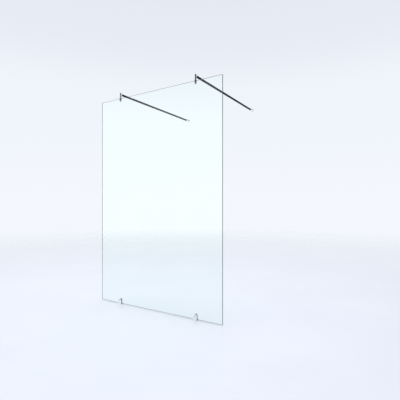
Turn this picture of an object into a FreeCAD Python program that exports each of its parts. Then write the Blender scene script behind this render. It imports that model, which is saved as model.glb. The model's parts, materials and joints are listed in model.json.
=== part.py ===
import FreeCAD, Part
import Sketcher
import math
import os

# Walk-in shower screen: a glass panel on two floor feet, with two stay bars
# from its top edge to the wall.  Millimetres.  Origin on the floor, in the
# middle of the glass; +X along the glass, +Y from the glass to the wall.

doc = FreeCAD.newDocument("ShowerScreen")

# ---------------------------------------------------------------- dimensions

DIMS = [
    ("glass_width", 1390.0),
    ("glass_height", 2000.0),
    ("glass_thick", 10.0),
    ("glass_gap", 6.0),
    ("glass_arris", 1.0),
    ("glass_hole_dia", 16.0),
    ("hole_arris", 0.6),
    ("fixing_half", 437.5),
    ("foot_width", 35.0),
    ("foot_height", 52.0),
    ("foot_plate", 4.5),
    ("foot_gasket", 1.5),
    ("foot_web", 4.0),
    ("foot_lift", 0.5),
    ("foot_round", 1.2),
    ("web_back_off", 0.3),
    ("gasket_inset", 0.6),
    ("gasket_hole_dia", 9.0),
    ("floor_hole_dia", 5.5),
    ("floor_sink_dia", 10.0),
    ("bush_slack", 0.1),
    ("bush_bore_dia", 8.4),
    ("foot_tap_dia", 8.1),
    ("foot_sink_dia", 15.4),
    ("foot_screw_dia", 8.0),
    ("foot_head_dia", 15.0),
    ("foot_head_sunk", 0.15),
    ("foot_hex", 5.0),
    ("foot_hex_deep", 3.0),
    ("web_inset", 2.0),
    ("pad_proud", 3.0),
    ("pad_slack", 0.1),
    ("bracket_width", 14.0),
    ("bracket_leg", 5.0),
    ("bracket_drop", 28.0),
    ("bracket_rise", 57.0),
    ("bracket_bridge", 7.0),
    ("bracket_rear", 4.6),
    ("post_dia", 12.6),
    ("post_dome", 1.5),
    ("post_rim", 0.3),
    ("spigot_dia", 6.0),
    ("spigot_long", 5.0),
    ("spigot_slack", 0.1),
    ("bracket_end", 3.0),
    ("bracket_edge", 0.6),
    ("liner_thick", 1.0),
    ("liner_inset", 0.5),
    ("liner_drop", 12.0),
    ("liner_front", 30.0),
    ("liner_corner", 5.0),
    ("grip_pad_dia", 10.0),
    ("jaw_dia", 9.6),
    ("jaw_thick", 1.0),
    ("jaw_rim", 0.25),
    ("jaw_travel", 1.2),
    ("grub_dia", 5.0),
    ("grub_tap_dia", 5.1),
    ("grub_hex", 2.5),
    ("grub_hex_deep", 2.2),
    ("grub_chamfer", 0.6),
    ("bar_rise", 40.0),
    ("bar_dia", 19.0),
    ("bar_bore_dia", 16.0),
    ("bar_start", 24.0),
    ("bar_finish", 1152.0),
    ("bar_rim", 0.4),
    ("neck_dia", 10.0),
    ("neck_bore_dia", 5.3),
    ("neck_root_dia", 11.0),
    ("neck_root", 2.0),
    ("neck_rim", 0.3),
    ("collar_dia", 21.0),
    ("collar_long", 4.0),
    ("collar_rim", 0.5),
    ("stud_dia", 5.0),
    ("stud_tap_dia", 5.1),
    ("stud_deep", 2.5),
    ("stud_gap", 0.3),
    ("stud_tip", 0.5),
    ("stud_reach", 13.8),
    ("plug_long", 20.0),
    ("plug_slack", 0.04),
    ("plug_tap_dia", 5.1),
    ("cap_flange", 1.0),
    ("cap_dia", 18.6),
    ("cap_stem", 12.0),
    ("wall_reach", 1190.0),
    ("flange_dia", 34.0),
    ("flange_thick", 6.0),
    ("flange_round", 2.0),
    ("boss_dia", 15.0),
    ("boss_long", 10.0),
    ("boss_rim", 0.5),
    ("wall_hole_dia", 6.0),
    ("wall_sink_dia", 9.6),
    ("seal_outer_dia", 27.0),
    ("seal_inner_dia", 19.0),
    ("seal_deep", 1.5),
    ("socket_dia", 26.0),
    ("socket_long", 54.0),
    ("socket_bore", 28.0),
    ("socket_slack", 0.1),
    ("socket_rear_bore", 10.5),
    ("socket_rim", 0.8),
    ("lock_dia", 4.0),
    ("lock_tap_dia", 4.1),
    ("lock_long", 3.2),
    ("lock_hex", 2.0),
    ("lock_hex_deep", 1.6),
    ("lock_chamfer", 0.4),
    ("lock_front", 4.5),
    ("lock_rear", 5.5),
    ("lock_slack", 0.06),
]

sheet = doc.addObject("Spreadsheet::Sheet", "Dims")
for row, (word, number) in enumerate(DIMS, start=1):
    sheet.set("A%d" % row, word)
    sheet.set("B%d" % row, repr(number))
    sheet.setAlias("B%d" % row, word)
doc.recompute()


class Size:
    """A driving length and the sheet formula that gives it."""

    def __init__(self, value, formula):
        self.value = float(value)
        self.formula = formula

    @staticmethod
    def of(other):
        return other if isinstance(other, Size) else Size(other, "%.10g" % other)

    def __add__(self, other):
        o = Size.of(other)
        return Size(self.value + o.value, "(%s + %s)" % (self.formula, o.formula))

    def __radd__(self, other):
        return Size.of(other) + self

    def __sub__(self, other):
        o = Size.of(other)
        return Size(self.value - o.value, "(%s - %s)" % (self.formula, o.formula))

    def __rsub__(self, other):
        return Size.of(other) - self

    def __mul__(self, other):
        o = Size.of(other)
        return Size(self.value * o.value, "(%s * %s)" % (self.formula, o.formula))

    __rmul__ = __mul__

    def __truediv__(self, other):
        o = Size.of(other)
        return Size(self.value / o.value, "(%s / %s)" % (self.formula, o.formula))

    def __neg__(self):
        return Size(-self.value, "(0 - %s)" % self.formula)


class Sheet:
    pass


d = Sheet()
for word, number in DIMS:
    setattr(d, word, Size(number, "Dims." + word))
ZERO = Size(0.0, "0")

# ------------------------------------------------------------------- helpers


def new_body(label):
    body = doc.addObject("PartDesign::Body", label)
    body.Label = label
    return body


def origin_plane(body, role):
    for feature in body.Origin.OriginFeatures:
        if feature.Role == role:
            return feature
    raise RuntimeError(role)


def new_sketch(body, role, name, shift=None):
    """shift: sizes along the sketch's own x, y and normal."""
    sk = body.newObject("Sketcher::SketchObject", name)
    sk.AttachmentSupport = (origin_plane(body, role), [""])
    sk.MapMode = "FlatFace"
    for axis, size in zip("xyz", shift or ()):
        if size is not None:
            sk.setExpression("AttachmentOffset.Base." + axis, size.formula)
    return sk


def bind(sk, constraint, size):
    index = sk.addConstraint(constraint)
    sk.setExpression("Constraints[%d]" % index, size.formula)


def pin(sk, geo, point, x, y):
    """Ties one point of a sketch to two sizes measured from its origin."""
    for kind, size, axis in (("DistanceX", x, -2), ("DistanceY", y, -1)):
        size = Size.of(size)
        if abs(size.value) < 1e-9:
            sk.addConstraint(
                Sketcher.Constraint("PointOnObject", geo, point, axis)
            )
        elif size.value > 0:
            bind(
                sk,
                Sketcher.Constraint(kind, -1, 1, geo, point, size.value),
                size,
            )
        else:
            bind(
                sk,
                Sketcher.Constraint(kind, geo, point, -1, 1, -size.value),
                -size,
            )


def outline(sk, points):
    """A closed outline of straight sides, every corner driven."""
    pts = [(Size.of(x), Size.of(y)) for x, y in points]
    at = [FreeCAD.Vector(x.value, y.value, 0) for x, y in pts]
    first = None
    for i in range(len(at)):
        g = sk.addGeometry(Part.LineSegment(at[i], at[(i + 1) % len(at)]), False)
        first = g if first is None else first
    n = len(at)
    for i in range(n):
        sk.addConstraint(
            Sketcher.Constraint(
                "Coincident", first + i, 2, first + (i + 1) % n, 1
            )
        )
    for i, (x, y) in enumerate(pts):
        pin(sk, first + i, 1, x, y)


def circle(sk, x, y, dia):
    x, y = Size.of(x), Size.of(y)
    g = sk.addGeometry(
        Part.Circle(
            FreeCAD.Vector(x.value, y.value, 0),
            FreeCAD.Vector(0, 0, 1),
            dia.value / 2,
        ),
        False,
    )
    pin(sk, g, 3, x, y)
    bind(sk, Sketcher.Constraint("Diameter", g, dia.value), dia)


def arch(sk, half, low, centre):
    """Straight foot and sides with a half-round top."""
    r, z0, zc = half.value, low.value, centre.value
    V = FreeCAD.Vector
    base = sk.addGeometry(Part.LineSegment(V(-r, z0, 0), V(r, z0, 0)), False)
    right = sk.addGeometry(Part.LineSegment(V(r, z0, 0), V(r, zc, 0)), False)
    top = sk.addGeometry(
        Part.ArcOfCircle(Part.Circle(V(0, zc, 0), V(0, 0, 1), r), 0, math.pi), False
    )
    left = sk.addGeometry(Part.LineSegment(V(-r, zc, 0), V(-r, z0, 0)), False)
    C = Sketcher.Constraint
    sk.addConstraint(C("Coincident", base, 2, right, 1))
    sk.addConstraint(C("Coincident", right, 2, top, 1))
    sk.addConstraint(C("Coincident", top, 2, left, 1))
    sk.addConstraint(C("Coincident", left, 2, base, 1))
    sk.addConstraint(C("Horizontal", base))
    sk.addConstraint(C("Vertical", right))
    sk.addConstraint(C("Vertical", left))
    sk.addConstraint(C("Horizontal", top, 1, top, 3))
    sk.addConstraint(C("Horizontal", top, 2, top, 3))
    pin(sk, top, 3, 0.0, centre)
    bind(sk, C("Radius", top, r), half)
    if abs(z0) < 1e-9:
        sk.addConstraint(C("PointOnObject", base, 1, -1))
    else:
        bind(sk, C("DistanceY", -1, 1, base, 1, z0), low)


def pill(sk, half, low, high):
    """Straight sides with half-round ends, along the sketch's upright axis."""
    r, a, c = half.value, (low + half).value, (high - half).value
    V = FreeCAD.Vector
    C = Sketcher.Constraint
    right = sk.addGeometry(Part.LineSegment(V(r, a, 0), V(r, c, 0)), False)
    far = sk.addGeometry(
        Part.ArcOfCircle(Part.Circle(V(0, c, 0), V(0, 0, 1), r), 0, math.pi), False
    )
    left = sk.addGeometry(Part.LineSegment(V(-r, c, 0), V(-r, a, 0)), False)
    nigh = sk.addGeometry(
        Part.ArcOfCircle(Part.Circle(V(0, a, 0), V(0, 0, 1), r), math.pi, 2 * math.pi),
        False,
    )
    for one, two in ((right, far), (far, left), (left, nigh), (nigh, right)):
        sk.addConstraint(C("Coincident", one, 2, two, 1))
    for arc, centre in ((far, high - half), (nigh, low + half)):
        pin(sk, arc, 3, 0.0, centre)
        bind(sk, C("Radius", arc, r), half)
        sk.addConstraint(C("Horizontal", arc, 1, arc, 3))
        sk.addConstraint(C("Horizontal", arc, 2, arc, 3))


def hexagon(sk, across):
    """A hexagon about the sketch's origin, given across its flats."""
    r = across / math.sqrt(3.0)
    outline(
        sk,
        [
            (
                r * round(math.cos(math.radians(60 * k)), 9),
                r * round(math.sin(math.radians(60 * k)), 9),
            )
            for k in range(6)
        ],
    )


def pad(body, sk, length, name, midplane=False, reverse=False):
    f = body.newObject("PartDesign::Pad", name)
    f.Profile = sk
    f.Midplane = midplane
    f.Reversed = reverse
    f.setExpression("Length", length.formula)
    sk.Visibility = False
    doc.recompute()
    return f


def cut(body, sk, length, name, reverse=False, midplane=False):
    before = body.Shape.Volume
    f = body.newObject("PartDesign::Pocket", name)
    f.Profile = sk
    f.Reversed = reverse
    f.Midplane = midplane
    f.setExpression("Length", length.formula)
    doc.recompute()
    if not body.Shape.Volume < before - 1e-3:
        raise RuntimeError("%s: %s takes nothing off" % (body.Label, name))
    return f


def turn(body, sk, name, axis="H_Axis", groove=False):
    """A turned solid, or a turned hole, about an axis of its sketch."""
    before = body.Shape.Volume if groove else 0.0
    f = body.newObject("PartDesign::Groove" if groove else "PartDesign::Revolution", name)
    f.Profile = sk
    f.ReferenceAxis = (sk, [axis])
    f.Angle = 360
    doc.recompute()
    if groove and not body.Shape.Volume < before - 1e-3:
        raise RuntimeError("%s: %s takes nothing off" % (body.Label, name))
    return f


def edges(feature, test):
    return [
        "Edge%d" % (i + 1) for i, e in enumerate(feature.Shape.Edges) if test(e)
    ]


def soften(body, feature, names, size, name, kind="Fillet"):
    if not names:
        raise RuntimeError("%s: no edges for %s" % (body.Label, name))
    f = body.newObject("PartDesign::" + kind, name)
    f.Base = (feature, names)
    f.setExpression("Radius" if kind == "Fillet" else "Size", size.formula)
    doc.recompute()
    return f


def box_of(edge):
    return edge.BoundBox


def near(a, b):
    return abs(a - b) < 1e-4


def place(body, x=None, y=None, z=None):
    for axis, size in (("x", x), ("y", y), ("z", z)):
        if size is not None:
            body.setExpression("Placement.Base." + axis, size.formula)


parts = []
SIDES = (("left", -1.0), ("right", 1.0))

# ------------------------------------------------- lengths used more than once

half_glass = d.glass_thick / 2
foot_inner = half_glass + d.foot_gasket
foot_outer = foot_inner + d.foot_plate
arch_centre = d.foot_height - d.foot_width / 2
glass_top = d.glass_gap + d.glass_height
leg_inner = half_glass + d.liner_thick
leg_outer = leg_inner + d.bracket_leg
jaw_back = leg_inner + d.jaw_thick
rear_inner = jaw_back + d.jaw_travel
rear_outer = rear_inner + d.bracket_rear
bridge_top = d.liner_thick + d.bracket_bridge
post_half = d.post_dia / 2
grip_height = d.bracket_width / 2 - d.bracket_drop
bar_height = glass_top + d.bar_rise
flange_face = d.wall_reach - d.flange_thick
socket_mouth = flange_face - d.socket_long

# ---------------------------------------------------------------- glass panel

glass = new_body("glass_panel")
sk = new_sketch(glass, "XZ_Plane", "GlassOutline")
w = d.glass_width / 2
outline(
    sk,
    [(-w, d.glass_gap), (w, d.glass_gap), (w, glass_top), (-w, glass_top)],
)
f = pad(glass, sk, d.glass_thick, "GlassSheet", midplane=True)
f = soften(
    glass,
    f,
    edges(f, lambda e: near(abs(e.CenterOfMass.y), 5.0) or near(e.BoundBox.YLength, 10.0)),
    d.glass_arris,
    "GlassArris",
    "Chamfer",
)
sk = new_sketch(glass, "XZ_Plane", "ClampHoles")
circle(sk, -d.fixing_half, arch_centre, d.glass_hole_dia)
circle(sk, d.fixing_half, arch_centre, d.glass_hole_dia)
f = cut(glass, sk, d.glass_thick * 2, "ClampHoleCut", midplane=True)
f = soften(
    glass,
    f,
    edges(
        f,
        lambda e: isinstance(e.Curve, Part.Circle)
        and near(e.Curve.Radius, d.glass_hole_dia.value / 2),
    ),
    d.hole_arris,
    "HoleArris",
    "Chamfer",
)
parts.append(glass)

# ----------------------------------------------------------------- floor feet

for side, sign in SIDES:
    at_x = d.fixing_half * sign

    # rear plate and base web in one piece
    b = new_body("floor_clamp_base_" + side)
    sk = new_sketch(b, "XZ_Plane", "RearPlate_" + side, (None, None, -foot_inner))
    arch(sk, d.foot_width / 2, ZERO, arch_centre)
    f = pad(b, sk, d.foot_plate, "RearPlatePad_" + side, reverse=True)
    f = soften(
        b,
        f,
        edges(
            f,
            lambda e: near(e.BoundBox.YMin, foot_outer.value)
            and e.BoundBox.ZMax > 1.0,
        ),
        d.foot_round,
        "RearRound_" + side,
    )
    sk = new_sketch(b, "XY_Plane", "Web_" + side)
    hw = d.foot_width / 2 - d.web_inset
    front = d.web_back_off - foot_inner
    outline(sk, [(-hw, front), (hw, front), (hw, foot_inner), (-hw, foot_inner)])
    f = pad(b, sk, d.foot_web, "WebPad_" + side)
    # countersunk hole for the floor screw
    sk = new_sketch(b, "YZ_Plane", "FloorHole_" + side)
    r0, r1 = d.floor_hole_dia / 2, d.floor_sink_dia / 2
    z1 = d.foot_web - (r1 - r0)
    outline(
        sk,
        [
            (ZERO, -1.0 * d.foot_web),
            (r0, -1.0 * d.foot_web),
            (r0, z1),
            (r1, d.foot_web),
            (r1, d.foot_web + 1.0),
            (ZERO, d.foot_web + 1.0),
        ],
    )
    f = turn(b, sk, "FloorHoleCut_" + side, "V_Axis", groove=True)
    # threaded hole for the foot screw
    sk = new_sketch(b, "XZ_Plane", "Tap_" + side)
    circle(sk, 0.0, arch_centre, d.foot_tap_dia)
    f = cut(b, sk, foot_outer * 4, "TapCut_" + side, midplane=True)
    place(b, x=at_x)
    parts.append(b)

    # gaskets on both sides of the glass
    for which, face in (("rear", half_glass), ("front", -foot_inner)):
        b = new_body("floor_clamp_%s_gasket_%s" % (which, side))
        sk = new_sketch(
            b, "XZ_Plane", "Gasket_%s_%s" % (which, side), (None, None, -face)
        )
        arch(sk, d.foot_width / 2 - d.gasket_inset, d.glass_gap, arch_centre)
        circle(sk, 0.0, arch_centre, d.gasket_hole_dia)
        pad(b, sk, d.foot_gasket, "GasketPad_%s_%s" % (which, side), reverse=True)
        place(b, x=at_x)
        parts.append(b)

    # pad under the glass edge, turned down over both ends of the web
    b = new_body("floor_setting_pad_" + side)
    sk = new_sketch(b, "XZ_Plane", "SettingPad_" + side)
    po, pi = d.foot_width / 2 + d.pad_proud, hw + d.pad_slack
    outline(
        sk,
        [
            (-po, d.foot_lift),
            (-pi, d.foot_lift),
            (-pi, d.foot_web),
            (pi, d.foot_web),
            (pi, d.foot_lift),
            (po, d.foot_lift),
            (po, d.glass_gap),
            (-po, d.glass_gap),
        ],
    )
    pad(b, sk, d.glass_thick, "SettingPadPad_" + side, midplane=True)
    place(b, x=at_x)
    parts.append(b)

    # sleeve in the glass hole
    b = new_body("floor_clamp_bush_" + side)
    sk = new_sketch(b, "YZ_Plane", "Bush_" + side)
    ri, ro = d.bush_bore_dia / 2, (d.glass_hole_dia - d.bush_slack) / 2
    outline(
        sk, [(-half_glass, ri), (half_glass, ri), (half_glass, ro), (-half_glass, ro)]
    )
    turn(b, sk, "BushTurn_" + side)
    place(b, x=at_x, z=arch_centre)
    parts.append(b)

    # front plate with its countersunk hole
    b = new_body("floor_clamp_front_plate_" + side)
    sk = new_sketch(b, "XZ_Plane", "FrontPlate_" + side, (None, None, foot_inner))
    arch(sk, d.foot_width / 2, d.foot_lift, arch_centre)
    f = pad(b, sk, d.foot_plate, "FrontPlatePad_" + side)
    f = soften(
        b,
        f,
        edges(
            f,
            lambda e: near(e.BoundBox.YMax, -foot_outer.value)
            and e.BoundBox.ZMax > 1.0,
        ),
        d.foot_round,
        "FrontRound_" + side,
    )
    sk = new_sketch(b, "YZ_Plane", "FrontSink_" + side, (None, arch_centre, None))
    r0, r1 = d.bush_bore_dia / 2, d.foot_sink_dia / 2
    outline(
        sk,
        [
            (-foot_outer - 1.0, ZERO),
            (-foot_outer - 1.0, r1),
            (-foot_outer, r1),
            (-foot_outer + (r1 - r0), r0),
            (-foot_inner + 1.0, r0),
            (-foot_inner + 1.0, ZERO),
        ],
    )
    turn(b, sk, "FrontSinkCut_" + side, groove=True)
    place(b, x=at_x)
    parts.append(b)

    # countersunk foot screw with a hexagon socket
    b = new_body("floor_clamp_screw_" + side)
    sk = new_sketch(b, "YZ_Plane", "FootScrew_" + side)
    face = d.foot_head_sunk - foot_outer
    rs, rh = d.foot_screw_dia / 2, d.foot_head_dia / 2
    outline(
        sk,
        [
            (face, ZERO),
            (face, rh),
            (face + (rh - rs), rs),
            (foot_outer - 0.8, rs),
            (foot_outer - 0.2, rs - 0.6),
            (foot_outer - 0.2, ZERO),
        ],
    )
    f = turn(b, sk, "FootScrewTurn_" + side)
    sk = new_sketch(b, "XZ_Plane", "FootHex_" + side, (None, None, -face))
    hexagon(sk, d.foot_hex)
    cut(b, sk, d.foot_hex_deep, "FootHexCut_" + side)
    place(b, x=at_x, z=arch_centre)
    parts.append(b)

# --------------------------------------------------------- top brackets and bars

for side, sign in SIDES:
    at_x = d.fixing_half * sign

    # bracket: a fork over the glass edge, rounded front and back
    b = new_body("top_bracket_" + side)
    sk = new_sketch(b, "XY_Plane", "Fork_" + side, (None, None, -d.bracket_drop))
    pill(sk, d.bracket_width / 2, -leg_outer, rear_outer)
    f = pad(b, sk, d.bracket_drop + bridge_top, "ForkPad_" + side)
    # well rounded lower end, eased upper edge
    f = soften(
        b,
        f,
        edges(f, lambda e: near(e.BoundBox.ZMax, -d.bracket_drop.value)),
        d.bracket_end,
        "LegEnd_" + side,
    )
    f = soften(
        b,
        f,
        edges(f, lambda e: near(e.BoundBox.ZMin, bridge_top.value)),
        d.bracket_edge,
        "Ease_" + side,
    )
    # slot for the glass, its liner and the pressure plate
    sk = new_sketch(b, "YZ_Plane", "Slot_" + side)
    outline(
        sk,
        [
            (-leg_inner, -d.bracket_drop - 1.0),
            (rear_inner, -d.bracket_drop - 1.0),
            (rear_inner, d.liner_thick),
            (-leg_inner, d.liner_thick),
        ],
    )
    f = cut(b, sk, d.bracket_width * 2, "SlotCut_" + side, midplane=True)
    # hole in the bridge for the spigot of the post
    sk = new_sketch(b, "XY_Plane", "SpigotHole_" + side, (None, None, bridge_top))
    circle(sk, 0.0, 0.0, d.spigot_dia + d.spigot_slack)
    f = cut(b, sk, d.spigot_long + d.stud_gap, "SpigotHoleCut_" + side)
    # threaded hole for the grub screw, through the rear leg only
    sk = new_sketch(b, "XZ_Plane", "GrubTap_" + side, (None, None, -rear_inner))
    circle(sk, 0.0, grip_height, d.grub_tap_dia)
    f = cut(b, sk, d.bracket_rear * 2, "GrubTapCut_" + side)
    place(b, x=at_x, z=glass_top)
    parts.append(b)

    # round post with an eased flat top, standing in the fork
    b = new_body("bracket_post_" + side)
    sk = new_sketch(b, "YZ_Plane", "Post_" + side)
    rsp = d.spigot_dia / 2
    outline(
        sk,
        [
            (ZERO, bridge_top - d.spigot_long),
            (rsp, bridge_top - d.spigot_long),
            (rsp, bridge_top),
            (post_half - d.post_rim, bridge_top),
            (post_half, bridge_top + d.post_rim),
            (post_half, d.bracket_rise),
            (ZERO, d.bracket_rise),
        ],
    )
    f = turn(b, sk, "PostTurn_" + side, "V_Axis")
    f = soften(
        b,
        f,
        edges(
            f,
            lambda e: isinstance(e.Curve, Part.Circle)
            and near(e.Curve.Radius, post_half.value)
            and near(e.BoundBox.ZMin, d.bracket_rise.value),
        ),
        d.post_dome,
        "PostDome_" + side,
    )
    # blind threaded hole from behind for the stud
    sk = new_sketch(b, "XZ_Plane", "StudTap_" + side, (None, None, d.stud_deep))
    circle(sk, 0.0, d.bar_rise, d.stud_tap_dia)
    f = cut(b, sk, d.stud_deep + d.post_dia, "StudTapCut_" + side)
    place(b, x=at_x, z=glass_top)
    parts.append(b)

    # soft liner over the glass edge, longer on the front face
    b = new_body("top_liner_" + side)
    sk = new_sketch(b, "YZ_Plane", "Liner_" + side)
    outline(
        sk,
        [
            (-leg_inner, -d.liner_front),
            (-half_glass, -d.liner_front),
            (-half_glass, ZERO),
            (half_glass, ZERO),
            (half_glass, -d.liner_drop),
            (leg_inner, -d.liner_drop),
            (leg_inner, d.liner_thick),
            (-leg_inner, d.liner_thick),
        ],
    )
    f = pad(
        b,
        sk,
        d.bracket_width - d.liner_inset * 2,
        "LinerPad_" + side,
        midplane=True,
    )
    f = soften(
        b,
        f,
        edges(
            f,
            lambda e: near(e.BoundBox.ZMax, -d.liner_front.value)
            and near(e.BoundBox.XLength, 0.0),
        ),
        d.liner_corner,
        "LinerCorner_" + side,
    )
    place(b, x=at_x, z=glass_top)
    parts.append(b)

    # round rubber pad on the rear face of the glass
    b = new_body("top_rear_pad_" + side)
    sk = new_sketch(b, "YZ_Plane", "Grip_" + side)
    rg = d.grip_pad_dia / 2
    y0, y1 = half_glass, leg_inner
    outline(
        sk,
        [
            (y0, ZERO),
            (y0, rg - d.jaw_rim),
            (y0 + d.jaw_rim, rg),
            (y1 - d.jaw_rim, rg),
            (y1, rg - d.jaw_rim),
            (y1, ZERO),
        ],
    )
    turn(b, sk, "GripTurn_" + side)
    place(b, x=at_x, z=glass_top + grip_height)
    parts.append(b)

    # round pressure plate behind the rear pad
    b = new_body("top_pressure_plate_" + side)
    sk = new_sketch(b, "YZ_Plane", "Jaw_" + side)
    rj = d.jaw_dia / 2
    outline(
        sk,
        [
            (leg_inner, ZERO),
            (leg_inner, rj),
            (jaw_back - d.jaw_rim, rj),
            (jaw_back, rj - d.jaw_rim),
            (jaw_back, ZERO),
        ],
    )
    turn(b, sk, "JawTurn_" + side)
    place(b, x=at_x, z=glass_top + grip_height)
    parts.append(b)

    # grub screw that pushes the pressure plate
    g = new_body("top_grub_screw_" + side)
    sk = new_sketch(g, "YZ_Plane", "Grub_" + side)
    rg, end = d.grub_dia / 2, rear_outer - 0.3
    outline(
        sk,
        [
            (jaw_back, ZERO),
            (jaw_back, rg - d.grub_chamfer * 2),
            (jaw_back + d.grub_chamfer * 2, rg),
            (end - d.grub_chamfer, rg),
            (end, rg - d.grub_chamfer),
            (end, ZERO),
        ],
    )
    turn(g, sk, "GrubTurn_" + side)
    sk = new_sketch(g, "XZ_Plane", "GrubHex_" + side, (None, None, -end))
    hexagon(sk, d.grub_hex)
    cut(g, sk, d.grub_hex_deep, "GrubHexCut_" + side, reverse=True)
    place(g, x=at_x, z=glass_top + grip_height)
    parts.append(g)

    # bright neck between the post and the bar, its front end coped to the post
    b = new_body("bar_neck_" + side)
    sk = new_sketch(b, "YZ_Plane", "Neck_" + side)
    rb, rn = d.neck_bore_dia / 2, d.neck_dia / 2
    rr = d.neck_root_dia / 2
    y0, y1 = post_half, d.bar_start - d.collar_long
    outline(
        sk,
        [
            (y0 / 4, rb),
            (y0 / 4, rr),
            (y0 + d.neck_root - d.neck_rim, rr),
            (y0 + d.neck_root, rr - d.neck_rim),
            (y0 + d.neck_root, rn),
            (y1 - d.neck_root, rn),
            (y1 - d.neck_root, rr - d.neck_rim),
            (y1 - d.neck_root + d.neck_rim, rr),
            (y1, rr),
            (y1, rb),
        ],
    )
    turn(b, sk, "NeckTurn_" + side)
    sk = new_sketch(b, "XY_Plane", "NeckCope_" + side)
    circle(sk, 0.0, 0.0, d.post_dia)
    cut(b, sk, d.neck_root_dia * 3, "NeckCopeCut_" + side, midplane=True)
    place(b, x=at_x, z=bar_height)
    parts.append(b)

    # black collar that finishes the front end of the bar
    b = new_body("bar_collar_" + side)
    sk = new_sketch(b, "YZ_Plane", "Collar_" + side)
    rc = d.collar_dia / 2
    outline(
        sk,
        [
            (y1, rb),
            (y1, rc - d.collar_rim),
            (y1 + d.collar_rim, rc),
            (d.bar_start - d.neck_rim, rc),
            (d.bar_start, rc - d.neck_rim),
            (d.bar_start, rb),
        ],
    )
    turn(b, sk, "CollarTurn_" + side)
    place(b, x=at_x, z=bar_height)
    parts.append(b)

    # threaded stud that draws the post, the neck and the bar together
    b = new_body("bar_fixing_stud_" + side)
    sk = new_sketch(b, "YZ_Plane", "Stud_" + side)
    start = d.stud_gap - d.stud_deep
    tip = d.bar_start + d.stud_reach
    rs, ch = d.stud_dia / 2, d.stud_tip
    outline(
        sk,
        [
            (start, ZERO),
            (start, rs - ch),
            (start + ch, rs),
            (tip - ch, rs),
            (tip, rs - ch),
            (tip, ZERO),
        ],
    )
    turn(b, sk, "StudTurn_" + side)
    place(b, x=at_x, z=bar_height)
    parts.append(b)

    # the stay bar itself
    b = new_body("bar_tube_" + side)
    sk = new_sketch(b, "YZ_Plane", "Bar_" + side)
    ri, ro = d.bar_bore_dia / 2, d.bar_dia / 2
    outline(
        sk,
        [
            (d.bar_start, ri),
            (d.bar_start, ro - d.bar_rim),
            (d.bar_start + d.bar_rim, ro),
            (d.bar_finish - d.bar_rim, ro),
            (d.bar_finish, ro - d.bar_rim),
            (d.bar_finish, ri),
        ],
    )
    turn(b, sk, "BarTurn_" + side)
    place(b, x=at_x, z=bar_height)
    parts.append(b)

    # threaded plug in the front end of the bar
    b = new_body("bar_front_plug_" + side)
    sk = new_sketch(b, "YZ_Plane", "Plug_" + side)
    rp, rt = (d.bar_bore_dia - d.plug_slack) / 2, d.plug_tap_dia / 2
    outline(
        sk,
        [
            (d.bar_start, rt),
            (d.bar_start, rp),
            (d.bar_start + d.plug_long, rp),
            (d.bar_start + d.plug_long, rt),
        ],
    )
    turn(b, sk, "PlugTurn_" + side)
    place(b, x=at_x, z=bar_height)
    parts.append(b)

    # cap in the wall end of the bar
    b = new_body("bar_end_cap_" + side)
    sk = new_sketch(b, "YZ_Plane", "Cap_" + side)
    rcap = d.cap_dia / 2
    outline(
        sk,
        [
            (d.bar_finish - d.cap_stem, ZERO),
            (d.bar_finish - d.cap_stem, rp - 0.4),
            (d.bar_finish - d.cap_stem + 0.4, rp),
            (d.bar_finish, rp),
            (d.bar_finish, rcap),
            (d.bar_finish + d.cap_flange, rcap),
            (d.bar_finish + d.cap_flange, ZERO),
        ],
    )
    turn(b, sk, "CapTurn_" + side)
    place(b, x=at_x, z=bar_height)
    parts.append(b)

# ------------------------------------------------------------------ wall ends

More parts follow.
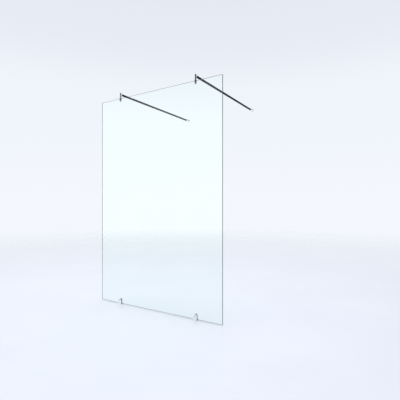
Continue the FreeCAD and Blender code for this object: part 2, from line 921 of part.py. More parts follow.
for side, sign in SIDES:
    at_x = d.fixing_half * sign

    # socket: front bore for the bar, rear bore for the wall boss
    b = new_body("wall_socket_" + side)
    sk = new_sketch(b, "YZ_Plane", "Socket_" + side)
    rs = d.socket_dia / 2
    rf = (d.bar_dia + d.socket_slack) / 2
    rr = (d.boss_dia + d.socket_slack) / 2
    rim = d.socket_rim
    outline(
        sk,
        [
            (socket_mouth, rf),
            (socket_mouth, rs - rim),
            (socket_mouth + rim, rs),
            (flange_face - rim / 2, rs),
            (flange_face, rs - rim / 2),
            (flange_face, rr),
            (flange_face - d.socket_rear_bore, rr),
            (flange_face - d.socket_rear_bore, ZERO),
            (socket_mouth + d.socket_bore, ZERO),
            (socket_mouth + d.socket_bore, rf),
        ],
    )
    turn(b, sk, "SocketTurn_" + side)
    # threaded holes from below for the two lock screws
    for n, at_y, reach in (
        ("a", socket_mouth + d.lock_front, rf),
        ("b", flange_face - d.lock_rear, rr),
    ):
        sk = new_sketch(
            b, "XY_Plane", "LockTap_%s_%s" % (side, n), (None, None, -rs - 1.0)
        )
        circle(sk, 0.0, at_y, d.lock_tap_dia)
        cut(b, sk, rs + 1.0 - reach / 2, "LockTapCut_%s_%s" % (side, n), reverse=True)
    place(b, x=at_x, z=bar_height)
    parts.append(b)

    # wall flange with the boss that the socket fits over
    b = new_body("wall_flange_" + side)
    sk = new_sketch(b, "YZ_Plane", "Flange_" + side)
    r0, r1 = d.wall_hole_dia / 2, d.wall_sink_dia / 2
    rb = d.boss_dia / 2
    rg0, rg1, ro = d.seal_inner_dia / 2, d.seal_outer_dia / 2, d.flange_dia / 2
    tip = flange_face - d.boss_long
    outline(
        sk,
        [
            (d.wall_reach, r0),
            (tip + (r1 - r0), r0),
            (tip, r1),
            (tip, rb - d.boss_rim),
            (tip + d.boss_rim, rb),
            (flange_face, rb),
            (flange_face, ro),
            (d.wall_reach, ro),
            (d.wall_reach, rg1),
            (d.wall_reach - d.seal_deep, rg1),
            (d.wall_reach - d.seal_deep, rg0),
            (d.wall_reach, rg0),
        ],
    )
    f = turn(b, sk, "FlangeTurn_" + side)
    soften(
        b,
        f,
        edges(
            f,
            lambda e: isinstance(e.Curve, Part.Circle)
            and near(e.Curve.Radius, ro.value)
            and near(e.BoundBox.YMin, flange_face.value),
        ),
        d.flange_round,
        "FlangeRound_" + side,
    )
    place(b, x=at_x, z=bar_height)
    parts.append(b)

    # sealing ring in the back of the flange
    b = new_body("wall_seal_" + side)
    sk = new_sketch(b, "YZ_Plane", "Seal_" + side)
    outline(
        sk,
        [
            (d.wall_reach - d.seal_deep, rg0),
            (d.wall_reach, rg0),
            (d.wall_reach, rg1),
            (d.wall_reach - d.seal_deep, rg1),
        ],
    )
    turn(b, sk, "SealTurn_" + side)
    place(b, x=at_x, z=bar_height)
    parts.append(b)

    # two lock screws, one on the bar and one on the boss
    pair = []
    for n, at_y, touch in (
        ("a", socket_mouth + d.lock_front, d.bar_dia / 2),
        ("b", flange_face - d.lock_rear, d.boss_dia / 2),
    ):
        g = new_body("socket_lock_%s_%s" % (side, n))
        sk = new_sketch(g, "XZ_Plane", "Lock_%s_%s" % (side, n))
        rl, ch = d.lock_dia / 2, d.lock_chamfer
        top = -touch - d.lock_slack
        low = top - d.lock_long
        outline(
            sk,
            [
                (ZERO, top),
                (rl - ch * 2, top),
                (rl, top - ch * 2),
                (rl, low + ch),
                (rl - ch, low),
                (ZERO, low),
            ],
        )
        turn(g, sk, "LockTurn_%s_%s" % (side, n), "V_Axis")
        sk = new_sketch(g, "XY_Plane", "LockHex_%s_%s" % (side, n), (None, None, low))
        hexagon(sk, d.lock_hex)
        cut(g, sk, d.lock_hex_deep, "LockHexCut_%s_%s" % (side, n), reverse=True)
        place(g, x=at_x, y=at_y, z=bar_height)
        pair.append(g)
    group = doc.addObject("Part::Compound", "socket_lock_screws_" + side)
    group.Label = "socket_lock_screws_" + side
    group.Links = pair
    parts.append(group)

# ---------------------------------------------------------- check and write out

doc.recompute()
for o in doc.Objects:
    if "Invalid" in o.State or "Error" in o.State:
        raise RuntimeError("%s: %s" % (o.Label, o.State))
os.makedirs("parts", exist_ok=True)
for p in parts:
    shape = p.Shape
    if shape.isNull() or not shape.isValid() or shape.Volume <= 0:
        raise RuntimeError("%s has no sound shape" % p.Label)
    shape.exportStep(os.path.join("parts", p.Label + ".step"))
    bb = shape.BoundBox
    print(
        "%-30s solids %d  vol %10.1f  x %8.2f %8.2f  y %8.2f %8.2f  z %8.2f %8.2f"
        % (
            p.Label,
            len(shape.Solids),
            shape.Volume,
            bb.XMin,
            bb.XMax,
            bb.YMin,
            bb.YMax,
            bb.ZMin,
            bb.ZMax,
        )
    )
print("parts:", len(parts))
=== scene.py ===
import json
import math

import bmesh
import bpy
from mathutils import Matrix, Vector


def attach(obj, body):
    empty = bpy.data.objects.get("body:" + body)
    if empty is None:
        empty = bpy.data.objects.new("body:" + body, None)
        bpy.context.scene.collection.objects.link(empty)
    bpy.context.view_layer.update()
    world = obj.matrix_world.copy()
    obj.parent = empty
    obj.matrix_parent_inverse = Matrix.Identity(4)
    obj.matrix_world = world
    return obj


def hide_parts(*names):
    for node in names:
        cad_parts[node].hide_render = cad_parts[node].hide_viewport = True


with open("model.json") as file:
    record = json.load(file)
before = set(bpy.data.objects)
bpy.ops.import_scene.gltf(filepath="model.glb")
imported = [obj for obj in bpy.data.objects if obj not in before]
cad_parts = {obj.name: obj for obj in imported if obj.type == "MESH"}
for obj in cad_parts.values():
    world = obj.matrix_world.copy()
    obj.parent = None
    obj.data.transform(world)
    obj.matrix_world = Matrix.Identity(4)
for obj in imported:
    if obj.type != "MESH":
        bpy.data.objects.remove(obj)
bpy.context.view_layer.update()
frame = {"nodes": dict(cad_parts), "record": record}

# Walk-in shower screen: one pane of clear glass on two bright floor clamps,
# with two black stay bars that run from its top edge to the wall.
# Metres; +X along the glass, +Y from the glass to the wall, +Z up.

nodes = frame["nodes"]
scene = bpy.context.scene
MM = 0.001
SIDES = (("left", -0.4375), ("right", 0.4375))
GLASS_TOP = 2.006
BAR_Z = 2.046
GRIP_Z = 1.985
SCREW_Z = 0.0345
POST_R = 6.3

# ------------------------------------------------------------------ materials


class Paint:
    """A material and the means to string its nodes together."""

    def __init__(self, name):
        self.mat = bpy.data.materials.new(name)
        self.mat.use_nodes = True
        self.tree = self.mat.node_tree
        self.tree.nodes.clear()
        self.out = self.tree.nodes.new("ShaderNodeOutputMaterial")
        self.coord = self.tree.nodes.new("ShaderNodeTexCoord")
        self.step = 0

    def node(self, kind, values=(), **settings):
        n = self.tree.nodes.new(kind)
        self.step += 1
        n.location = (-220 * (self.step % 8), -260 * (self.step // 8))
        for key, value in settings.items():
            setattr(n, key, value)
        for key, value in dict(values).items():
            n.inputs[key].default_value = value
        return n

    def link(self, a, b):
        self.tree.links.new(a, b)

    def place(self, stretch=(1.0, 1.0, 1.0)):
        m = self.node("ShaderNodeMapping")
        m.inputs["Scale"].default_value = stretch
        self.link(self.coord.outputs["Object"], m.inputs["Vector"])
        return m.outputs["Vector"]

    def noise(self, scale, detail=3.0, rough=0.5, at=None, distortion=0.0):
        n = self.node(
            "ShaderNodeTexNoise",
            {"Scale": scale, "Detail": detail, "Roughness": rough, "Distortion": distortion},
        )
        self.link(at or self.coord.outputs["Object"], n.inputs["Vector"])
        return n.outputs["Fac"]

    def spread(self, value, lo, hi, from_lo=0.3, from_hi=0.7):
        n = self.node(
            "ShaderNodeMapRange",
            {"From Min": from_lo, "From Max": from_hi, "To Min": lo, "To Max": hi},
            clamp=True,
        )
        self.link(value, n.inputs["Value"])
        return n.outputs["Result"]

    def blend(self, value, a, b):
        n = self.node("ShaderNodeMix", data_type="RGBA")
        self.link(value, n.inputs["Factor"])
        # the colour sockets of this node carry the same names as its others
        for s in n.inputs:
            if s.type == "RGBA" and s.name == "A":
                s.default_value = (*a, 1.0)
            if s.type == "RGBA" and s.name == "B":
                s.default_value = (*b, 1.0)
        return [s for s in n.outputs if s.type == "RGBA"][0]

    def bump(self, height, strength, distance, under=None):
        n = self.node("ShaderNodeBump", {"Strength": strength, "Distance": distance})
        self.link(height, n.inputs["Height"])
        if under is not None:
            self.link(under, n.inputs["Normal"])
        return n.outputs["Normal"]

    def surface(self, colour=None, rough=None, normal=None, **fixed):
        n = self.node("ShaderNodeBsdfPrincipled")
        for key, value in fixed.items():
            n.inputs[key.replace("_", " ")].default_value = value
        for socket, value in (("Base Color", colour), ("Roughness", rough), ("Normal", normal)):
            if value is not None:
                self.link(value, n.inputs[socket])
        return n

    def finish(self, shader):
        self.link(shader.outputs[0], self.out.inputs["Surface"])
        return self.mat


def make_chrome():
    """Polished chrome plate: faint smears in the gloss, a trace of plating waviness."""
    p = Paint("polished_chrome")
    smear = p.noise(38.0, 4.0, 0.55, distortion=0.6)
    wipe = p.noise(240.0, 2.0, 0.5, at=p.place((1.0, 1.0, 0.22)))
    rough = p.spread(smear, 0.035, 0.10)
    colour = p.blend(p.spread(wipe, 0.0, 1.0), (0.955, 0.958, 0.965), (0.985, 0.988, 0.994))
    normal = p.bump(p.noise(160.0, 2.0), 0.05, 0.0002)
    return p.finish(p.surface(colour, rough, normal, Metallic=1.0))


def make_steel():
    """Plain stainless screw steel with turning marks."""
    p = Paint("screw_steel")
    grain = p.noise(420.0, 3.0, 0.6)
    turned = p.noise(1500.0, 2.0, 0.5, at=p.place((1.0, 0.12, 1.0)))
    rough = p.spread(grain, 0.20, 0.36)
    colour = p.blend(p.spread(turned, 0.0, 1.0), (0.66, 0.66, 0.67), (0.78, 0.78, 0.79))
    normal = p.bump(turned, 0.10, 0.00008)
    return p.finish(p.surface(colour, rough, normal, Metallic=1.0))


def make_brass():
    """Turned brass of the plug inside the bar."""
    p = Paint("plug_brass")
    turned = p.noise(900.0, 3.0, 0.5, at=p.place((0.1, 1.0, 0.1)))
    rough = p.spread(turned, 0.22, 0.40)
    colour = p.blend(p.spread(turned, 0.0, 1.0), (0.62, 0.44, 0.17), (0.76, 0.58, 0.28))
    normal = p.bump(turned, 0.12, 0.00008)
    return p.finish(p.surface(colour, rough, normal, Metallic=1.0))


def make_black():
    """Deep black satin powder coat with a fine orange peel."""
    p = Paint("black_coat")
    peel = p.noise(620.0, 2.0, 0.45)
    cloud = p.noise(22.0, 3.0, 0.5)
    rough = p.spread(cloud, 0.34, 0.46)
    colour = p.blend(p.spread(peel, 0.0, 1.0), (0.0030, 0.0030, 0.0034), (0.0062, 0.0062, 0.0068))
    normal = p.bump(peel, 0.14, 0.00010)
    return p.finish(p.surface(colour, rough, normal, IOR=1.30, Specular_IOR_Level=0.30))


def make_rubber():
    """Matt black moulded rubber."""
    p = Paint("dark_rubber")
    speck = p.noise(1400.0, 3.0, 0.6)
    cloud = p.noise(120.0, 2.0, 0.5)
    rough = p.spread(cloud, 0.62, 0.82)
    colour = p.blend(p.spread(speck, 0.0, 1.0), (0.010, 0.010, 0.011), (0.024, 0.024, 0.025))
    normal = p.bump(speck, 0.22, 0.00010)
    return p.finish(p.surface(colour, rough, normal, Specular_IOR_Level=0.30))


def make_black_plastic():
    """Moulded black plastic of the cap in the bar's end."""
    p = Paint("black_plastic")
    grain = p.noise(1100.0, 2.0, 0.5)
    rough = p.spread(grain, 0.38, 0.55)
    colour = p.blend(p.spread(grain, 0.0, 1.0), (0.012, 0.012, 0.012), (0.020, 0.020, 0.021))
    normal = p.bump(grain, 0.12, 0.00006)
    return p.finish(p.surface(colour, rough, normal))


def make_nylon():
    """Natural moulded nylon of the sleeves in the glass."""
    p = Paint("white_nylon")
    cloud = p.noise(260.0, 3.0, 0.5)
    rough = p.spread(cloud, 0.38, 0.54)
    colour = p.blend(p.spread(cloud, 0.0, 1.0), (0.74, 0.74, 0.71), (0.82, 0.82, 0.80))
    normal = p.bump(cloud, 0.05, 0.00010)
    return p.finish(p.surface(colour, rough, normal))


def make_glass():
    """Clear toughened float glass: faint green through the face, deep and
    dark along the polished edges, with a paler ground arris between them."""
    p = Paint("clear_glass")
    split = p.node("ShaderNodeSeparateXYZ")
    p.link(p.coord.outputs["Normal"], split.inputs["Vector"])
    flat = p.node("ShaderNodeMath", operation="ABSOLUTE")
    p.link(split.outputs["Y"], flat.inputs[0])
    edge = p.spread(flat.outputs["Value"], 1.0, 0.0, 0.80, 0.96)
    wave = p.noise(2.2, 2.0, 0.5)
    face = p.blend(p.spread(wave, 0.0, 1.0), (0.952, 1.0, 0.980), (0.962, 1.0, 0.986))
    side = p.spread(flat.outputs["Value"], 1.0, 0.0, 0.30, 0.60)
    streak = p.noise(60.0, 3.0, 0.5)
    rim = p.blend(p.spread(streak, 0.0, 1.0), (0.018, 0.032, 0.032), (0.036, 0.058, 0.058))
    arris = p.blend(p.spread(streak, 0.0, 1.0), (0.20, 0.26, 0.26), (0.28, 0.34, 0.34))

    def over(value, under, upper):
        mix = p.node("ShaderNodeMix", data_type="RGBA")
        p.link(value, mix.inputs["Factor"])
        for s in mix.inputs:
            if s.type == "RGBA" and s.name == "A":
                p.link(under, s)
            if s.type == "RGBA" and s.name == "B":
                p.link(upper, s)
        return [s for s in mix.outputs if s.type == "RGBA"][0]

    tint = over(edge, face, over(side, arris, rim))
    # polished edges are not quite as smooth as the float faces
    ground = p.spread(p.noise(900.0, 2.0, 0.5), 0.02, 0.09)
    rough = p.node("ShaderNodeMath", operation="MULTIPLY")
    p.link(edge, rough.inputs[0])
    p.link(ground, rough.inputs[1])
    body = p.surface(tint, rough.outputs["Value"], None, IOR=1.5)
    # the arris lets a little light through, the deep edge hardly any
    shut = p.node("ShaderNodeMath", operation="MULTIPLY")
    p.link(edge, shut.inputs[0])
    p.link(p.spread(side, 0.85, 0.96, 0.0, 1.0), shut.inputs[1])
    p.link(p.spread(shut.outputs["Value"], 1.0, 0.0, 0.0, 1.0), body.inputs["Transmission Weight"])
    # lamplight passes through the pane on its way to the floor
    clear = p.node("ShaderNodeBsdfTransparent")
    clear.inputs["Color"].default_value = (0.93, 0.97, 0.965, 1.0)
    path = p.node("ShaderNodeLightPath")
    both = p.node("ShaderNodeMixShader")
    p.link(path.outputs["Is Shadow Ray"], both.inputs["Fac"])
    p.link(body.outputs[0], both.inputs[1])
    p.link(clear.outputs[0], both.inputs[2])
    return p.finish(both)


MATERIALS = {
    "clear_glass": make_glass(),
    "polished_chrome": make_chrome(),
    "black_coat": make_black(),
    "dark_rubber": make_rubber(),
    "screw_steel": make_steel(),
    "white_nylon": make_nylon(),
    "plug_brass": make_brass(),
    "black_plastic": make_black_plastic(),
}
SLOT_OF = {s["node"]: s["material_slot"] for s in frame["record"]["subparts"]}
for name, o in nodes.items():
    o.data.materials.clear()
    o.data.materials.append(MATERIALS[SLOT_OF[name]])

# --------------------------------------------------------------- round pieces


def rounded(corners, closed, n=5):
    """Turns (along, radius, round) corners into a line with rounded corners."""
    line = []
    count = len(corners)
    for i, (y, r, size) in enumerate(corners):
        here = Vector((y, r))
        if not size or (not closed and i in (0, count - 1)):
            line.append((y, r))
            continue
        back = Vector(corners[(i - 1) % count][:2]) - here
        on = Vector(corners[(i + 1) % count][:2]) - here
        a, b = back.normalized(), on.normalized()
        half = a.angle(b) / 2
        reach = min(size / math.tan(half), back.length * 0.49, on.length * 0.49)
        radius = reach * math.tan(half)
        middle = here + (a + b).normalized() * (radius / math.sin(half))
        start, end = here + a * reach, here + b * reach
        u, v = start - middle, end - middle
        turn = math.atan2(u.x * v.y - u.y * v.x, u.dot(v))
        for k in range(n + 1):
            t = turn * k / n
            line.append(
                (
                    middle.x + u.x * math.cos(t) - u.y * math.sin(t),
                    middle.y + u.x * math.sin(t) + u.y * math.cos(t),
                )
            )
    return line


def made(name, bm, sharp):
    bmesh.ops.recalc_face_normals(bm, faces=bm.faces)
    mesh = bpy.data.meshes.new(name)
    bm.to_mesh(mesh)
    bm.free()
    mesh.shade_smooth()
    mesh.set_sharp_from_angle(angle=math.radians(sharp))
    o = bpy.data.objects.new(name, mesh)
    scene.collection.objects.link(o)
    return o


def turned(name, rows, x, z, closed, n=72, sharp=35.0):
    """A turned shape about a line along Y.  A row is (along, radius), each a
    number or a function of the angle, all in millimetres."""
    bm = bmesh.new()
    rings = []
    for y, r in rows:
        if not callable(r) and r < 1e-6:
            rings.append([bm.verts.new((x, y * MM, z))])
            continue
        ring = []
        for k in range(n):
            a = 2 * math.pi * k / n
            q = (r(a) if callable(r) else r) * MM
            t = (y(a) if callable(y) else y) * MM
            ring.append(bm.verts.new((x + q * math.cos(a), t, z + q * math.sin(a))))
        rings.append(ring)
    pairs = list(zip(rings, rings[1:]))
    if closed:
        pairs.append((rings[-1], rings[0]))
    for p, q in pairs:
        for k in range(n):
            j = (k + 1) % n
            if len(p) == 1 and len(q) == 1:
                continue
            if len(p) == 1:
                bm.faces.new((p[0], q[k], q[j]))
            elif len(q) == 1:
                bm.faces.new((p[k], p[j], q[0]))
            else:
                bm.faces.new((p[k], p[j], q[j], q[k]))
    return made(name, bm, sharp)


def coped(radius, post):
    """Where a ring of this radius meets the side of an upright post."""
    return lambda a: math.sqrt(post * post - (radius * math.cos(a)) ** 2)


def stand_for(o, node, body):
    o.data.materials.append(MATERIALS[SLOT_OF[node]])
    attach(o, body)
    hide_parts(node)
    return o


def hexagon(across, start=0.0):
    """Radius of a hexagon at each angle, given across its flats."""

    def r(a):
        t = (a - start) % (math.pi / 3) - math.pi / 6
        return across / 2 / math.cos(t)

    return r


def thread(y, pitch, major, minor):
    """Radius of a screw thread at each angle, at one place along the screw."""

    def r(a):
        t = (y / pitch - a / (2 * math.pi)) % 1.0
        ridge = 1.0 - abs(2.0 * t - 1.0)
        ridge = min(max((ridge - 0.08) / 0.78, 0.0), 1.0)
        return minor + (major - minor) * ridge

    return r


def screw_rows(start, end, pitch, major, minor, steps=10, tip=0.9):
    """Rows of a threaded shank that ends in a small cone."""
    rows = []
    count = int(round((end - start) / pitch * steps))
    for k in range(count + 1):
        y = start + (end - start) * k / count
        grow = min(1.0, (y - start) / pitch)
        top = minor + (major - minor) * grow
        left = max(0.0, (end - y) / tip)
        top = min(top, minor - 0.25 + (major - minor + 0.25) * min(left, 1.0))
        low = min(minor, top)
        rows.append((y, thread(y, pitch, top, low)))
    return rows


def arched(half, foot, less):
    """Radius of an arch-topped outline about the middle of its arch."""

    def r(a):
        c, q = abs(math.cos(a)), math.sin(a)
        if q >= 0.0:
            return half - less
        return min((half - less) / max(c, 1e-6), (foot - less) / -q)

    return r


def moulded(name, line, x, half, thick, soft=0.22):
    """A moulded strip that follows a line of (across, up) points, with its
    own half width at each point and rounded edges all round."""
    bm = bmesh.new()
    rings = []
    count = len(line)
    for i, (y, z) in enumerate(line):
        here = Vector((y, z))
        a = (here - Vector(line[i - 1])).normalized() if i else None
        b = (Vector(line[i + 1]) - here).normalized() if i < count - 1 else None
        run = ((a or b) + (b or a)).normalized()
        side = Vector((-run.y, run.x))
        lean = 1.0 if a is None or b is None else 1.0 / max(run.dot(a), 0.3)
        w, t = half[i], thick / 2
        k = min(soft, w * 0.5)
        if i in (0, count - 1):
            w, t = w - k, t - k
        ring = []
        for u, v in (
            (w - k, t), (w - k * 0.3, t - k * 0.3), (w, t - k),
            (w, k - t), (w - k * 0.3, k * 0.3 - t), (w - k, -t),
            (k - w, -t), (k * 0.3 - w, k * 0.3 - t), (-w, k - t),
            (-w, t - k), (k * 0.3 - w, t - k * 0.3), (k - w, t),
        ):
            at = here + side * (v * lean)
            ring.append(bm.verts.new((x + u * MM, at.x * MM, at.y * MM)))
        rings.append(ring)
    for p, q in zip(rings, rings[1:]):
        for k in range(len(p)):
            j = (k + 1) % len(p)
            bm.faces.new((p[k], p[j], q[j], q[k]))
    bm.faces.new(rings[0])
    bm.faces.new(list(reversed(rings[-1])))
    return made(name, bm, 50.0)


def block(name, points, x, deep, soft):
    """A moulded block: an outline of (along, up) points run through the
    thickness of the glass, every edge rounded."""
    bm = bmesh.new()
    front = [bm.verts.new((x + u * MM, -deep * MM, v * MM)) for u, v in points]
    back = [bm.verts.new((x + u * MM, deep * MM, v * MM)) for u, v in points]
    count = len(points)
    bm.faces.new(front)
    bm.faces.new(list(reversed(back)))
    for k in range(count):
        j = (k + 1) % count
        bm.faces.new((front[k], back[k], back[j], front[j]))
    bmesh.ops.recalc_face_normals(bm, faces=bm.faces)
    bmesh.ops.bevel(
        bm, geom=list(bm.edges), offset=soft * MM, offset_type="OFFSET",
        segments=3, profile=0.5, affect="EDGES", clamp_overlap=True,
    )
    return made(name, bm, 40.0)


for side, x in SIDES:
    # gaskets between the foot plates and the glass, lips a little rounded
    for which, near, far, body in (
        ("rear", 5.0, 6.5, "screen"),
        ("front", -6.5, -5.0, "floor_jaw_" + side),
    ):
        lip = [(near, 4.7), (near, arched(16.9, 28.5, 0.40)), (near + 0.12, arched(16.9, 28.5, 0.12))]
        lip += [(near + 0.40, arched(16.9, 28.5, 0.0)), (far - 0.40, arched(16.9, 28.5, 0.0))]
        lip += [(far - 0.12, arched(16.9, 28.5, 0.12)), (far, arched(16.9, 28.5, 0.40)), (far, 4.7)]
        lip += [(far - 0.2, 4.5), (near + 0.2, 4.5)]
        stand_for(
            turned("foot_gasket_%s_%s" % (which, side), lip, x, SCREW_Z, True, n=144, sharp=50.0),
            "floor_clamp_%s_gasket_%s" % (which, side),
            body,
        )
    # setting pad under the glass, turned down at both ends
    saddle = [(-20.5, 0.5), (-15.6, 0.5), (-15.6, 4.0), (15.6, 4.0)]
    saddle += [(15.6, 0.5), (20.5, 0.5), (20.5, 6.0), (-20.5, 6.0)]
    stand_for(
        block("setting_pad_" + side, saddle, x, 5.0, 0.5),
        "floor_setting_pad_" + side,
        "screen",
    )
    # liner over the glass edge: long tongue in front, short one behind
    drop = [30.0 - v for v in (0.0, 0.19, 0.73, 1.46, 2.5, 3.71, 5.0)]
    tongue = [6.5 - 5.0 + math.sqrt(max(25.0 - (5.0 - (30.0 - v)) ** 2, 0.0)) for v in drop]
    line = [(-5.5, 2006.0 - v) for v in drop]
    line += [(-5.5, 1990.0), (-5.5, 2006.5), (5.5, 2006.5), (5.5, 1998.0), (5.5, 1994.3), (5.5, 1994.0)]
    half = tongue + [6.5, 6.5, 6.5, 6.5, 6.5, 6.5]
    stand_for(
        moulded("grip_liner_" + side, line, x, half, 1.0),
        "top_liner_" + side,
        "stay_bar_" + side,
    )
    # round pad behind the glass
    disc = rounded([(5.0, 0.0, 0.0), (5.0, 5.0, 0.3), (6.0, 5.0, 0.3), (6.0, 0.0, 0.0)], False)
    stand_for(
        turned("grip_pad_" + side, disc, x, GRIP_Z, False, n=64, sharp=50.0),
        "top_rear_pad_" + side,
        "top_jaw_" + side,
    )
    # seal ring let into the back of the wall flange
    ring = rounded(
        [(1188.5, 9.5, 0.25), (1188.5, 13.5, 0.25), (1190.0, 13.5, 0.35), (1190.0, 9.5, 0.35)], True
    )
    stand_for(
        turned("seal_ring_" + side, ring, x, BAR_Z, True, n=96, sharp=50.0),
        "wall_seal_" + side,
        "wall_end_" + side,
    )
    # stay bar: a plain round tube with softened ends
    tube = rounded(
        [(24.0, 8.0, 0.2), (24.0, 9.5, 0.5), (1152.0, 9.5, 0.5), (1152.0, 8.0, 0.2)],
        True,
    )
    stand_for(
        turned("stay_bar_tube_" + side, tube, x, BAR_Z, True, n=96),
        "bar_tube_" + side,
        "stay_bar_" + side,
    )
    # bright neck: coped to the post, slim waist, a land at the collar
    neck = [(coped(2.65, POST_R), 2.65), (coped(3.9, POST_R), 3.9), (coped(5.5, POST_R), 5.5)]
    neck += rounded(
        [
            (7.2, 5.5, 0.0),
            (8.3, 5.5, 0.3),
            (8.6, 5.0, 0.2),
            (17.8, 5.0, 0.2),
            (18.0, 5.5, 0.2),
            (20.0, 5.5, 0.0),
            (20.0, 2.65, 0.0),
        ],
        False,
    )
    stand_for(
        turned("stay_bar_neck_" + side, neck, x, BAR_Z, True, n=96),
        "bar_neck_" + side,
        "stay_bar_" + side,
    )
    # black collar that finishes the bar's front end
    collar = rounded(
        [(20.0, 2.65, 0.0), (20.0, 10.35, 0.5), (20.3, 10.5, 0.3), (24.0, 10.5, 0.4), (24.0, 2.65, 0.0)],
        True,
    )
    stand_for(
        turned("stay_bar_collar_" + side, collar, x, BAR_Z, True, n=96),
        "bar_collar_" + side,
        "stay_bar_" + side,
    )
    # foot screw: hexagon socket, countersunk head, plain neck, then thread
    screw = [(-7.85, 0.0), (-7.85, hexagon(5.0)), (-10.65, hexagon(5.0)), (-10.85, hexagon(5.5))]
    screw += [(-10.85, 7.15), (-10.82, 7.27), (-10.72, 7.34), (-7.5, 4.14), (-7.2, 4.0)]
    screw += [(-4.6, 4.0), (-4.3, 3.4)]
    screw += screw_rows(-4.2, 10.8, 1.25, 4.0, 3.4, steps=8)
    screw += [(10.8, 0.0)]
    stand_for(
        turned("foot_screw_" + side, screw, x, SCREW_Z, False, n=48, sharp=32.0),
        "floor_clamp_screw_" + side,
        "floor_jaw_" + side,
    )
    # grub screw behind the glass: cup point, thread, hexagon socket
    grub = [(7.35, 0.0), (7.0, 0.95), (7.0, 1.25), (7.8, 1.98)]
    grub += screw_rows(7.9, 12.2, 0.8, 2.5, 2.05, steps=8)
    grub += [(12.42, 1.8), (12.5, 1.72), (12.5, hexagon(2.8)), (12.3, hexagon(2.5))]
    grub += [(10.3, hexagon(2.5)), (10.3, 0.0)]
    stand_for(
        turned("grip_screw_" + side, grub, x, GRIP_Z, False, n=48, sharp=32.0),
        "top_grub_screw_" + side,
        "top_jaw_" + side,
    )

# --------------------------------------------------------- floor, light, camera


def make_floor():
    p = Paint("studio_floor")
    cloud = p.noise(1.3, 4.0, 0.5)
    fine = p.noise(90.0, 3.0, 0.6)
    rough = p.spread(fine, 0.12, 0.20)
    colour = p.blend(p.spread(cloud, 0.0, 1.0), (0.825, 0.845, 0.885), (0.855, 0.875, 0.915))
    paint = p.surface(colour, rough, None, Specular_IOR_Level=0.20)
    far = p.node("ShaderNodeVectorMath", operation="LENGTH")
    p.link(p.coord.outputs["Object"], far.inputs[0])
    fade = p.spread(far.outputs["Value"], 0.0, 1.0, 3.0, 11.0)
    gone = p.node("ShaderNodeBsdfTransparent")
    both = p.node("ShaderNodeMixShader")
    p.link(fade, both.inputs["Fac"])
    p.link(paint.outputs[0], both.inputs[1])
    p.link(gone.outputs[0], both.inputs[2])
    return p.finish(both)


bm = bmesh.new()
bmesh.ops.create_circle(bm, cap_ends=True, segments=96, radius=40.0)
floor_mesh = bpy.data.meshes.new("studio_floor")
bm.to_mesh(floor_mesh)
bm.free()
floor = bpy.data.objects.new("studio_floor", floor_mesh)
floor.location = (0.0, 0.0, 0.0)
floor_mesh.materials.append(make_floor())
scene.collection.objects.link(floor)

world = bpy.data.worlds.new("studio")
scene.world = world
world.use_nodes = True
wt = world.node_tree
wt.nodes.clear()
w_out = wt.nodes.new("ShaderNodeOutputWorld")
w_dir = wt.nodes.new("ShaderNodeTexCoord")
w_xyz = wt.nodes.new("ShaderNodeSeparateXYZ")
wt.links.new(w_dir.outputs["Generated"], w_xyz.inputs["Vector"])


def w_node(kind, **settings):
    n = wt.nodes.new("ShaderNode" + kind)
    for key, value in settings.items():
        setattr(n, key, value)
    return n


def w_ramp(value, *stops):
    n = w_node("ValToRGB")
    n.color_ramp.interpolation = "EASE"
    marks = n.color_ramp.elements
    while len(marks) < len(stops):
        marks.new(0.5)
    for mark, (at, colour) in zip(marks, stops):
        mark.position, mark.color = at, (*colour, 1.0)
    wt.links.new(value, n.inputs["Fac"])
    return n.outputs["Color"]


def w_between(value, lo, hi):
    n = w_node("MapRange", interpolation_type="SMOOTHSTEP")
    n.inputs["From Min"].default_value = lo
    n.inputs["From Max"].default_value = hi
    wt.links.new(value, n.inputs["Value"])
    return n.outputs["Result"]


HORIZON = (0.905, 0.935, 0.985)
# the room that is seen: pale all round, a little greyer overhead
seen = w_ramp(
    w_xyz.outputs["Z"],
    (0.0, HORIZON),
    (0.30, (0.87, 0.905, 0.965)),
    (0.46, (0.80, 0.83, 0.905)),
    (0.70, (0.73, 0.755, 0.83)),
)
# what bright metal and glass mirror: a dim studio over a bright horizon
dim = w_ramp(
    w_xyz.outputs["Z"],
    (0.0, HORIZON),
    (0.23, (0.80, 0.82, 0.86)),
    (0.305, (0.10, 0.102, 0.108)),
    (0.75, (0.08, 0.08, 0.085)),
)
# and one broad soft panel of light at the front left
level = w_node("VectorMath", operation="MULTIPLY")
level.inputs[1].default_value = (1.0, 1.0, 0.0)
wt.links.new(w_dir.outputs["Generated"], level.inputs[0])
course = w_node("VectorMath", operation="NORMALIZE")
wt.links.new(level.outputs["Vector"], course.inputs[0])
toward = w_node("VectorMath", operation="DOT_PRODUCT")
toward.inputs[1].default_value = (-0.624, -0.781, 0.0)
wt.links.new(course.outputs["Vector"], toward.inputs[0])
panel = w_node("Math", operation="MULTIPLY")
wt.links.new(w_between(toward.outputs["Value"], 0.766, 0.927), panel.inputs[0])
wt.links.new(w_between(w_xyz.outputs["Z"], 0.34, 0.24), panel.inputs[1])
shiny = w_node("Mix", data_type="RGBA")
wt.links.new(panel.outputs["Value"], shiny.inputs["Factor"])
for s_in in shiny.inputs:
    if s_in.type == "RGBA" and s_in.name == "A":
        wt.links.new(dim, s_in)
    if s_in.type == "RGBA" and s_in.name == "B":
        s_in.default_value = (0.88, 0.95, 0.985, 1.0)
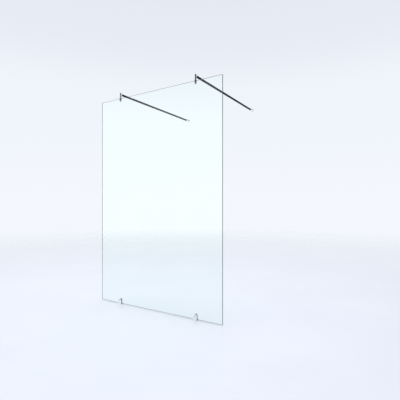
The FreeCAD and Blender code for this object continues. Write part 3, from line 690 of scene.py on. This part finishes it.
# the room behind the screen is as bright in a mirror as it is to the eye
ahead = w_node("VectorMath", operation="DOT_PRODUCT")
ahead.inputs[1].default_value = (-0.5325, 0.8464, 0.0)
wt.links.new(course.outputs["Vector"], ahead.inputs[0])
mirror = w_node("Mix", data_type="RGBA")
wt.links.new(w_between(ahead.outputs["Value"], 0.72, 0.90), mirror.inputs["Factor"])
for s_in in mirror.inputs:
    if s_in.type == "RGBA" and s_in.name == "A":
        wt.links.new([o for o in shiny.outputs if o.type == "RGBA"][0], s_in)
    if s_in.type == "RGBA" and s_in.name == "B":
        wt.links.new(seen, s_in)
# light that comes straight through the pane is a touch stronger and cooler
w_path = w_node("LightPath")
pane = w_node("Mix", data_type="RGBA", blend_type="MULTIPLY")
wt.links.new(w_path.outputs["Is Transmission Ray"], pane.inputs["Factor"])
for s_in in pane.inputs:
    if s_in.type == "RGBA" and s_in.name == "A":
        wt.links.new(seen, s_in)
    if s_in.type == "RGBA" and s_in.name == "B":
        s_in.default_value = (1.075, 1.085, 1.07, 1.0)
w_a = w_node("Background")
w_b = w_node("Background")
wt.links.new([o for o in pane.outputs if o.type == "RGBA"][0], w_a.inputs["Color"])
wt.links.new([o for o in mirror.outputs if o.type == "RGBA"][0], w_b.inputs["Color"])
w_through = w_node("Math", operation="SUBTRACT", use_clamp=True)
wt.links.new(w_path.outputs["Is Glossy Ray"], w_through.inputs[0])
wt.links.new(w_path.outputs["Is Transmission Ray"], w_through.inputs[1])
# bright metal throws the full light of the room onto the floor beside it
w_first = w_node("Math", operation="SUBTRACT", use_clamp=True)
wt.links.new(w_through.outputs["Value"], w_first.inputs[0])
wt.links.new(w_path.outputs["Diffuse Depth"], w_first.inputs[1])
w_mix = w_node("MixShader")
wt.links.new(w_first.outputs["Value"], w_mix.inputs["Fac"])
wt.links.new(w_a.outputs[0], w_mix.inputs[1])
wt.links.new(w_b.outputs[0], w_mix.inputs[2])
wt.links.new(w_mix.outputs[0], w_out.inputs["Surface"])


def softbox(name, at, to, size, power, colour=(1.0, 1.0, 1.0)):
    data = bpy.data.lights.new(name, "AREA")
    data.shape = "RECTANGLE"
    data.size, data.size_y = size
    data.energy = power
    data.color = colour
    o = bpy.data.objects.new(name, data)
    o.location = at
    o.rotation_euler = (Vector(to) - Vector(at)).to_track_quat("-Z", "Y").to_euler()
    o.visible_camera = False
    scene.collection.objects.link(o)
    return o


softbox("key_light", (-0.6, -0.4, 5.6), (0.0, 0.5, 0.0), (3.6, 3.6), 105.0)

camera = bpy.data.objects.new("camera", bpy.data.cameras.new("camera"))
scene.collection.objects.link(camera)
camera.location = (1.946, -2.328, 0.954)
camera.rotation_euler = (math.radians(90.0), 0.0, math.radians(32.177))
camera.data.sensor_width = 36.0
camera.data.lens = 29.761
camera.data.shift_x = 0.0
camera.data.shift_y = 0.01542
camera.data.clip_start, camera.data.clip_end = 0.05, 200.0
scene.camera = camera

scene.view_settings.view_transform = "Standard"
scene.view_settings.look = "None"
scene.view_settings.exposure = 0.0
scene.view_settings.gamma = 1.0
